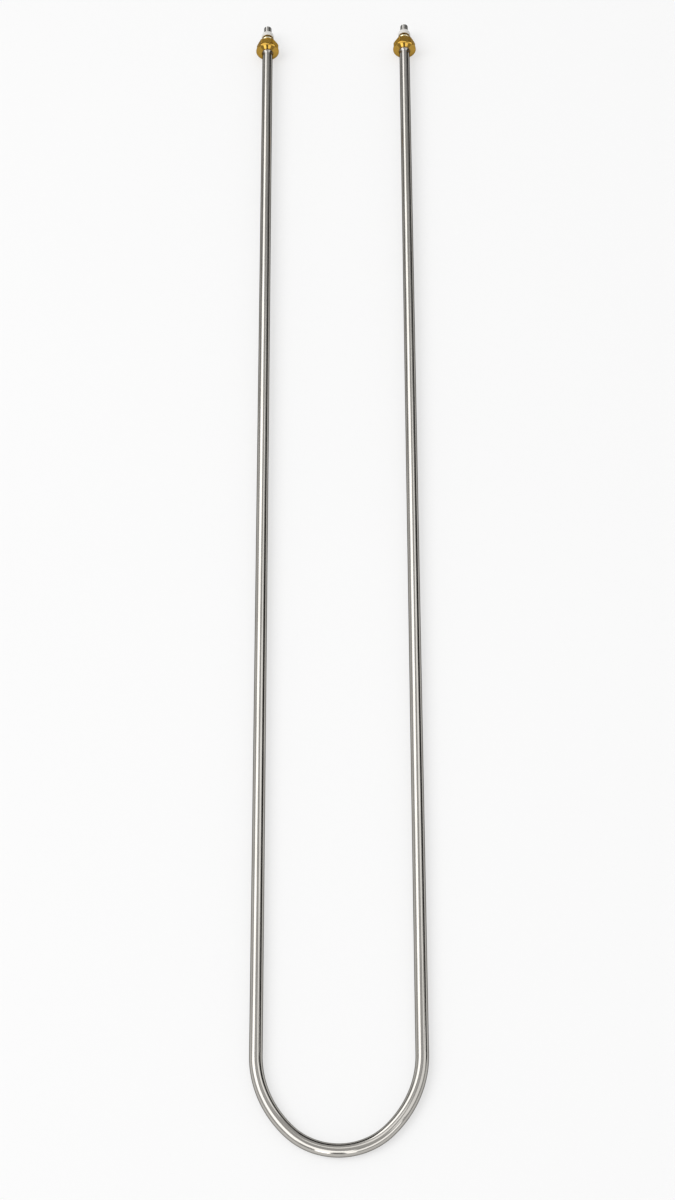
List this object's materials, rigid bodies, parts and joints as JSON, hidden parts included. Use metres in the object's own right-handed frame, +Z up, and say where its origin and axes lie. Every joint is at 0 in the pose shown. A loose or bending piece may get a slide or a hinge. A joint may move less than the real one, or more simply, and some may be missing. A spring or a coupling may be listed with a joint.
{
  "type": "bain marie heating element",
  "caption": "Long narrow U-shaped immersion heater of bright round steel tube, with a flanged brass bush, hexagon nut, white bead and threaded stud on the end of each leg.",
  "frame": {"origin": "under the middle of the overall length and midway between the legs, on the surface that the element lies on", "axes": "+Y along the legs from the bend to the terminals, +Z up from the surface, +X to the right of the legs seen along +Y"},
  "size_m": [0.1266, 0.9613, 0.018],
  "materials": {
    "sheath_steel": "bright drawn stainless steel, faintly lined along its length",
    "magnesia": "compacted chalky white powder",
    "resistance_wire": "dull oxidised nickel-chrome wire",
    "pin_steel": "plain drawn steel",
    "seal_rubber": "matt silicone rubber",
    "braze_metal": "dull, flux-stained braze metal",
    "bush_brass": "turned brass, bright with faint tool marks",
    "nut_brass": "drawn hexagon brass, slightly duller than the bush",
    "bead_ceramic": "white, slightly glossy",
    "stud_nickel": "bright nickel plate over a fine thread"
  },
  "bodies": {
    "root": {"sheath_tube": "sheath_steel", "magnesia_packing": "magnesia", "magnesia_core": "magnesia", "resistance_coil": "resistance_wire", "cold_pin_left": "pin_steel", "end_seal_left": "seal_rubber", "braze_ring_left": "braze_metal", "threaded_bush_left": "bush_brass", "lock_nut_left": "nut_brass", "ceramic_bead_left": "bead_ceramic", "terminal_stud_left": "stud_nickel", "cold_pin_right": "pin_steel", "end_seal_right": "seal_rubber", "braze_ring_right": "braze_metal", "threaded_bush_right": "bush_brass", "lock_nut_right": "nut_brass", "ceramic_bead_right": "bead_ceramic", "terminal_stud_right": "stud_nickel"}
  },
  "joints": []
}
